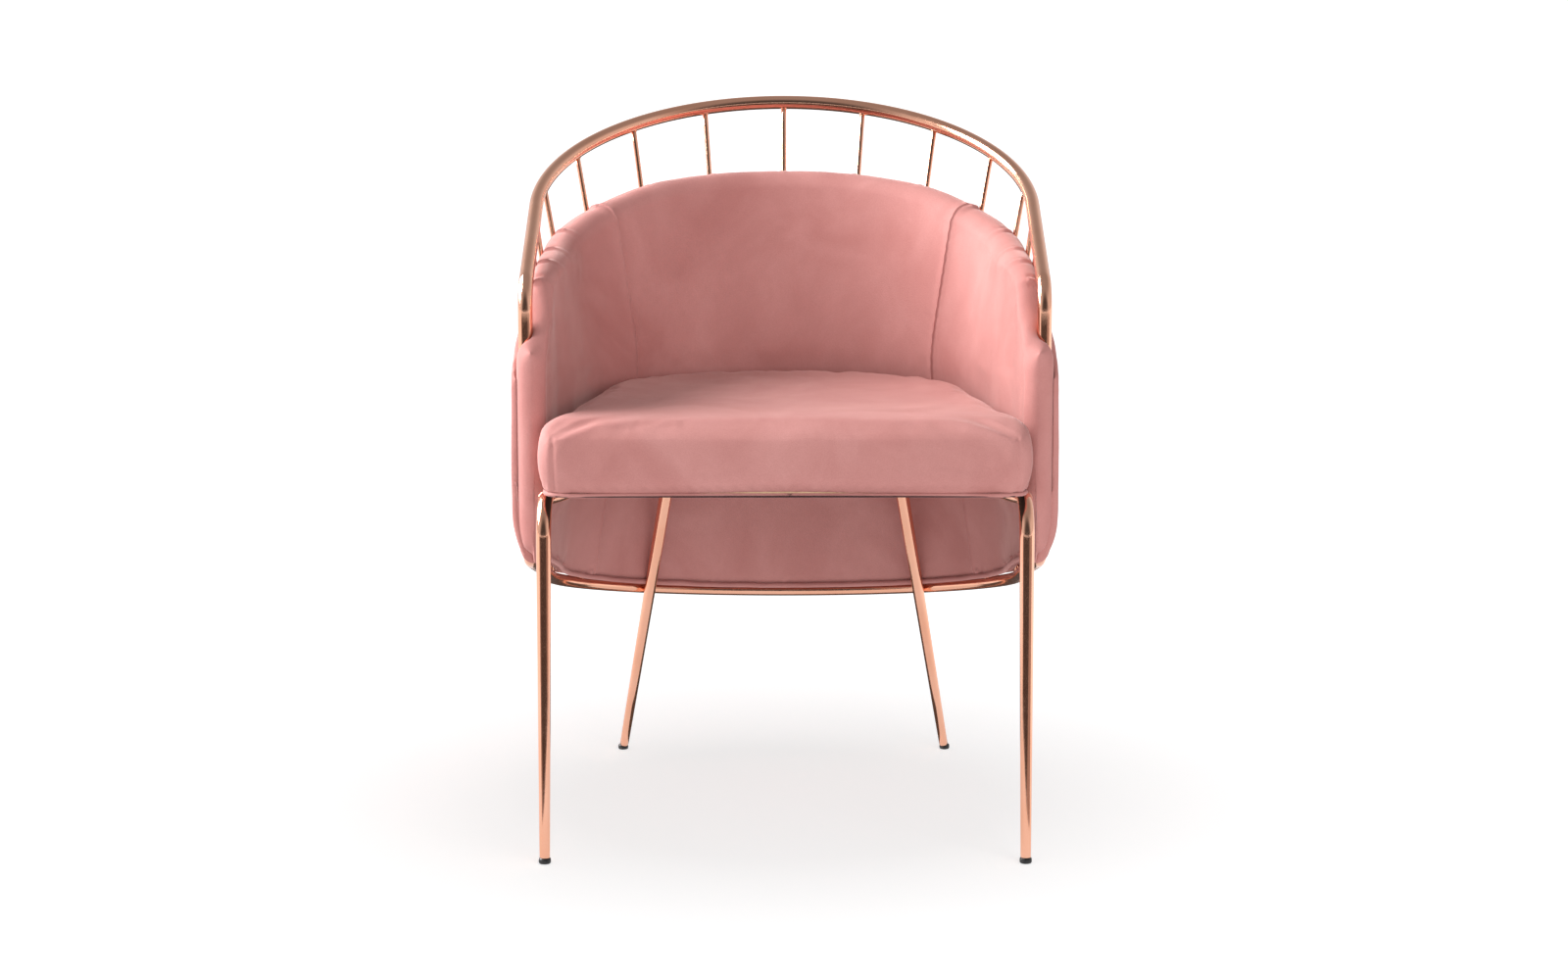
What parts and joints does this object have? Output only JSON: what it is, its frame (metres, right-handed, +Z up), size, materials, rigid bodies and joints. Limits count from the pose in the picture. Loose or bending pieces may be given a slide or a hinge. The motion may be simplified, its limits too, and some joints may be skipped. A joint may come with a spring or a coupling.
{
  "type": "upholstered armchair",
  "caption": "Armchair with a padded barrel shell held in a cage of bent metal tube and rods, over a padded seat on slim tapered legs.",
  "frame": {"origin": "on the floor at the middle of the chair's footprint box", "axes": "+X to the right of a person facing the back from the front, +Y to the back, +Z up; the chair faces -Y"},
  "size_m": [0.5988, 0.5599, 0.7999],
  "materials": {
    "rose_gold": "polished rose-gold plated steel tube and rod, tight bright highlights",
    "velvet": "dusty-pink cut velvet over foam, pale sheen at grazing angles and uneven nap",
    "plywood": "bare moulded plywood",
    "glide_rubber": "moulded black rubber, dull",
    "zinc_steel": "bright zinc plated steel fixings",
    "lining": "black spun-bonded lining cloth"
  },
  "bodies": {
    "root": {"bottom_hoop": "rose_gold", "cage_rod_centre": "rose_gold", "cage_rod_left_1": "rose_gold", "cage_rod_left_2": "rose_gold", "cage_rod_left_3": "rose_gold", "cage_rod_left_4": "rose_gold", "cage_rod_left_5": "rose_gold", "cage_rod_left_6": "rose_gold", "cage_rod_left_7": "rose_gold", "cage_rod_right_1": "rose_gold", "cage_rod_right_2": "rose_gold", "cage_rod_right_3": "rose_gold", "cage_rod_right_4": "rose_gold", "cage_rod_right_5": "rose_gold", "cage_rod_right_6": "rose_gold", "cage_rod_right_7": "rose_gold", "cross_bar_front": "rose_gold", "cross_bar_rear": "rose_gold", "frame_stub_left": "rose_gold", "frame_stub_right": "rose_gold", "front_leg_left": "rose_gold", "front_leg_right": "rose_gold", "glide_front_left": "glide_rubber", "glide_front_right": "glide_rubber", "glide_rear_left": "glide_rubber", "glide_rear_right": "glide_rubber", "rear_leg_left": "rose_gold", "rear_leg_right": "rose_gold", "seat_board": "plywood", "seat_bolt_front_left": "zinc_steel", "seat_bolt_front_right": "zinc_steel", "seat_bolt_rear_left": "zinc_steel", "seat_bolt_rear_right": "zinc_steel", "seat_cushion": "velvet", "seat_dust_cover": "lining", "seat_frame": "rose_gold", "seat_tab_front_left": "rose_gold", "seat_tab_front_right": "rose_gold", "seat_tab_rear_left": "rose_gold", "seat_tab_rear_right": "rose_gold", "shell_inner_board": "plywood", "shell_inner_pad_centre": "velvet", "shell_inner_pad_left": "velvet", "shell_inner_pad_right": "velvet", "shell_outer_board": "plywood", "shell_outer_pad_centre": "velvet", "shell_outer_pad_left": "velvet", "shell_outer_pad_right": "velvet", "shell_screw_left_1": "zinc_steel", "shell_screw_left_2": "zinc_steel", "shell_screw_left_3": "zinc_steel", "shell_screw_right_1": "zinc_steel", "shell_screw_right_2": "zinc_steel", "shell_screw_right_3": "zinc_steel", "tee_nut_front_left": "zinc_steel", "tee_nut_front_right": "zinc_steel", "tee_nut_rear_left": "zinc_steel", "tee_nut_rear_right": "zinc_steel", "top_rail": "rose_gold"}
  },
  "joints": []
}
